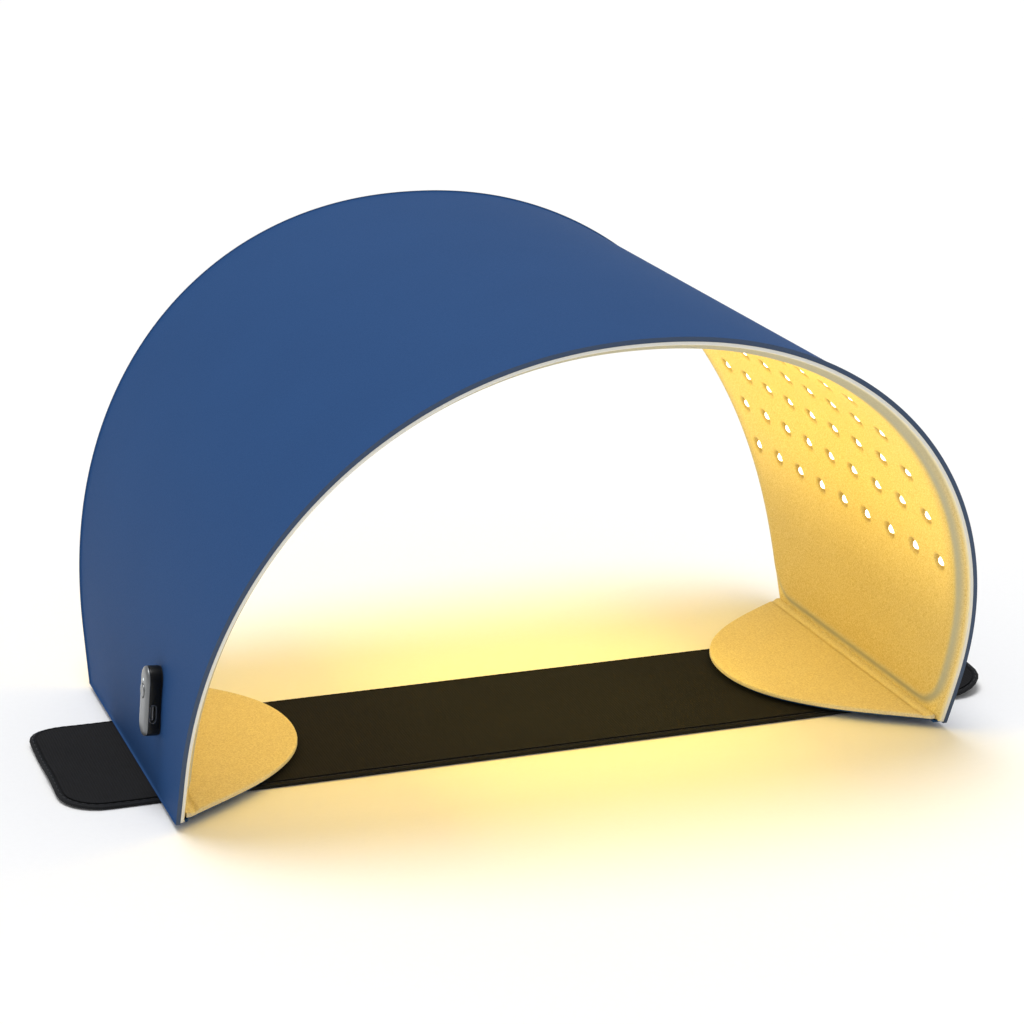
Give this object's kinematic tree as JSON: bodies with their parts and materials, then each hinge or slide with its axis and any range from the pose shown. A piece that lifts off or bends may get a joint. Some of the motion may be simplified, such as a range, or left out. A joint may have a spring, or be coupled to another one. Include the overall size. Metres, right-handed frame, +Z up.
{
  "type": "led face mask",
  "caption": "Arched flexible LED light-therapy panel with fold-in flaps at both feet, a strap beneath and a USB-C control pod.",
  "frame": {"origin": "on the strap's underside, on the bed or table, below the middle of the crown", "axes": "+X across the arch from the left foot to the right foot, +Y along the tunnel from front to back, +Z up to the crown; the control pod is on the -X wall near the front"},
  "size_m": [0.47, 0.326, 0.227],
  "materials": {
    "blue_skin": "matte moulded silicone skin with a fine grain, mid blue",
    "shape_core": "thin springy sheet that keeps the arch in shape",
    "led_board": "white flexible circuit film with LED packages",
    "lining": "soft pale silicone with a fine sandy grain",
    "led_lens": "clear dome lens over each LED, lit warm white",
    "hook_tape": "woven tape with small nylon hooks",
    "strap_neoprene": "black neoprene foam band with bound edges",
    "strap_fabric": "black brushed loop fabric",
    "edge_trim": "dark grey pressed edge of the skin",
    "gasket_rubber": "soft black foam rubber",
    "pod_housing": "dark grey glossy moulded ABS",
    "pod_cap": "silver-grey painted ABS with a satin gloss",
    "power_button": "grey moulded ABS",
    "circuit_board": "green solder mask on glass-fibre board",
    "switch_steel": "stamped steel",
    "light_pipe": "clear acrylic light guide",
    "socket_steel": "stamped and plated steel",
    "socket_plastic": "black glass-filled nylon",
    "backing_steel": "stamped steel",
    "screw_steel": "zinc-plated steel",
    "ribbon_film": "amber polyimide film"
  },
  "bodies": {
    "crown": {"outer_cover_crown": "blue_skin", "shape_core_crown": "shape_core", "led_board_crown": "led_board", "lining_crown": "lining"},
    "left_side": {"outer_cover_left": "blue_skin", "shape_core_left": "shape_core", "led_board_left": "led_board", "lining_left": "lining", "pod_gasket": "gasket_rubber", "pod_base": "pod_housing", "pod_cap": "pod_cap", "pod_circuit_board": "circuit_board", "power_switch": "switch_steel", "status_light_pipe": "light_pipe", "usb_socket_shell": "socket_steel", "usb_socket_tongue": "socket_plastic", "pod_backing_plate": "backing_steel", "pod_screw_top": "screw_steel", "pod_screw_bottom": "screw_steel", "pod_ribbon_cable": "ribbon_film"},
    "right_side": {"outer_cover_right": "blue_skin", "shape_core_right": "shape_core", "led_board_right": "led_board", "lining_right": "lining"},
    "left_flap": {"flap_cover_left": "blue_skin", "flap_lining_left": "lining", "hook_pad_left": "hook_tape"},
    "right_flap": {"flap_cover_right": "blue_skin", "flap_lining_right": "lining", "hook_pad_right": "hook_tape"},
    "strap": {"strap_core": "strap_neoprene", "strap_loop_face": "strap_fabric"},
    "power_button": {"power_button": "power_button"}
  },
  "joints": [
    {"name": "left_side_flex", "type": "hinge", "parent": "crown", "child": "left_side", "pos_m": [-0.05104, 0, 0.22118], "axis": [0, 1, 0], "range_deg": [0, 15], "stiffness_Nm_per_rad": 0.5},
    {"name": "right_side_flex", "type": "hinge", "parent": "crown", "child": "right_side", "pos_m": [0.05104, 0, 0.22118], "axis": [0, -1, 0], "range_deg": [0, 15], "stiffness_Nm_per_rad": 0.5},
    {"name": "left_flap_fold", "type": "hinge", "parent": "left_side", "child": "left_flap", "pos_m": [-0.1843, 0, 0.0072], "axis": [0, -1, 0], "range_deg": [0, 80]},
    {"name": "right_flap_fold", "type": "hinge", "parent": "right_side", "child": "right_flap", "pos_m": [0.1843, 0, 0.0072], "axis": [0, 1, 0], "range_deg": [0, 80]},
    {"name": "strap_release", "type": "slide", "parent": "crown", "child": "strap", "axis": [0, 0, -1], "range_m": [0, 0.06]},
    {"name": "power_button_press", "type": "slide", "parent": "left_side", "child": "power_button", "axis": [0.9968, 0, -0.0794], "range_m": [0, 0.0008], "stiffness_N_per_m": 400, "springref_m": -0.0008}
  ],
  "couplings": [
    {"joint": "right_side_flex", "follows": "left_side_flex", "ratio": 1}
  ]
}
